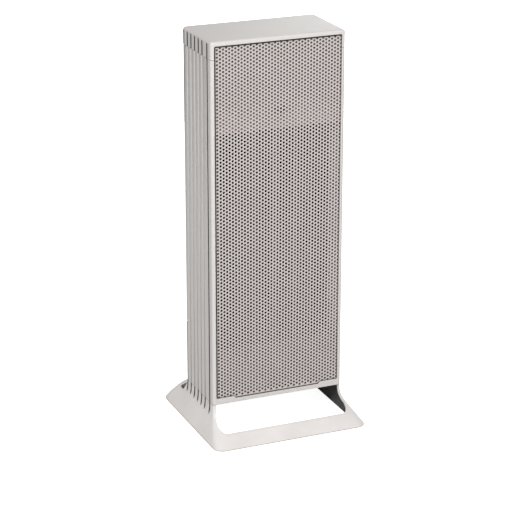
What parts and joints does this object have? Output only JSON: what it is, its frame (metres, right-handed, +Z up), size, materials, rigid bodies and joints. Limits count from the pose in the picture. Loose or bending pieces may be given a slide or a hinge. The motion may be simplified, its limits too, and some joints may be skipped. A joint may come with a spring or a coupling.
{
  "type": "fan convector heater",
  "caption": "Upright fan convector heater: ribbed rectangular tower with a perforated front grille, on a flared open stand.",
  "frame": {"origin": "on the floor, under the middle of the stand's footprint", "axes": "+Z up along the tower, the perforated front faces -Y, +X to the right as seen from the front"},
  "size_m": [0.227, 0.211, 0.557],
  "materials": {
    "casing": "light warm grey moulded plastic, fine satin texture",
    "grille_steel": "perforated sheet steel, satin warm grey",
    "black_plastic": "black moulded plastic",
    "rubber": "dark grey rubber",
    "grey_plastic": "mid grey heat-resistant moulding",
    "zinc_steel": "zinc-plated sheet steel",
    "aluminium": "plain finned aluminium",
    "bronze": "sintered bronze",
    "stator_steel": "laminated motor steel, lacquered",
    "circuit_board": "green solder mask",
    "filter_mesh": "dark woven filter net in a moulded frame"
  },
  "bodies": {
    "casing": {"base_skirt": "casing", "base_liner_left": "black_plastic", "base_liner_right": "black_plastic", "foot_front_left": "rubber", "foot_rear_left": "rubber", "foot_front_right": "rubber", "foot_rear_right": "rubber", "cord_grommet": "rubber", "chassis_plate": "grey_plastic", "base_screw_1": "zinc_steel", "base_screw_2": "zinc_steel", "base_screw_3": "zinc_steel", "base_screw_4": "zinc_steel", "side_panel_left": "casing", "side_panel_right": "casing", "front_bezel": "casing", "front_grille": "grille_steel", "top_cap": "casing", "rear_cover_lower": "casing", "rear_cover_upper": "casing", "rear_screw_1": "zinc_steel", "rear_screw_2": "zinc_steel", "rear_screw_3": "zinc_steel", "rear_screw_4": "zinc_steel", "switch_housing": "black_plastic", "lower_baffle": "grey_plastic", "upper_baffle": "grey_plastic", "sensor_window": "black_plastic", "sensor_board": "circuit_board", "fan_plate_lower": "zinc_steel", "fan_plate_upper": "zinc_steel", "scroll_wall": "zinc_steel", "fan_tongue": "zinc_steel", "heater_bracket_lower": "grey_plastic", "heater_bracket_upper": "grey_plastic", "ptc_bar_1": "aluminium", "ptc_bar_2": "aluminium", "ptc_bar_3": "aluminium", "ptc_bar_4": "aluminium", "thermal_cutout": "black_plastic", "bearing_bush": "bronze", "motor_cap_lower": "zinc_steel", "motor_stator": "stator_steel", "motor_cap_upper": "zinc_steel", "motor_screw_1": "zinc_steel", "motor_screw_2": "zinc_steel", "motor_screw_3": "zinc_steel", "control_board": "circuit_board", "terminal_block": "grey_plastic", "tilt_bracket": "black_plastic"},
    "fan": {"impeller": "black_plastic", "motor_rotor": "zinc_steel"},
    "rocker": {"power_rocker": "black_plastic"},
    "door": {"intake_door": "casing", "dust_filter": "filter_mesh"},
    "pendulum": {"tilt_pendulum": "zinc_steel"}
  },
  "joints": [
    {"name": "fan_spin", "type": "hinge", "parent": "casing", "child": "fan", "pos_m": [-0.022, 0.014, 0.2], "axis": [0, 0, 1], "continuous": true},
    {"name": "rocker_tilt", "type": "hinge", "parent": "casing", "child": "rocker", "pos_m": [0.06, 0.047, 0.095], "axis": [1, 0, 0], "range_deg": [0, 16]},
    {"name": "door_hinge", "type": "hinge", "parent": "casing", "child": "door", "pos_m": [0, 0.04975, 0.13675], "axis": [-1, 0, 0], "range_deg": [0, 60]},
    {"name": "tilt_swing", "type": "hinge", "parent": "casing", "child": "pendulum", "pos_m": [0.045, 0, 0.083], "axis": [0, 1, 0], "range_deg": [-25, 25]}
  ]
}
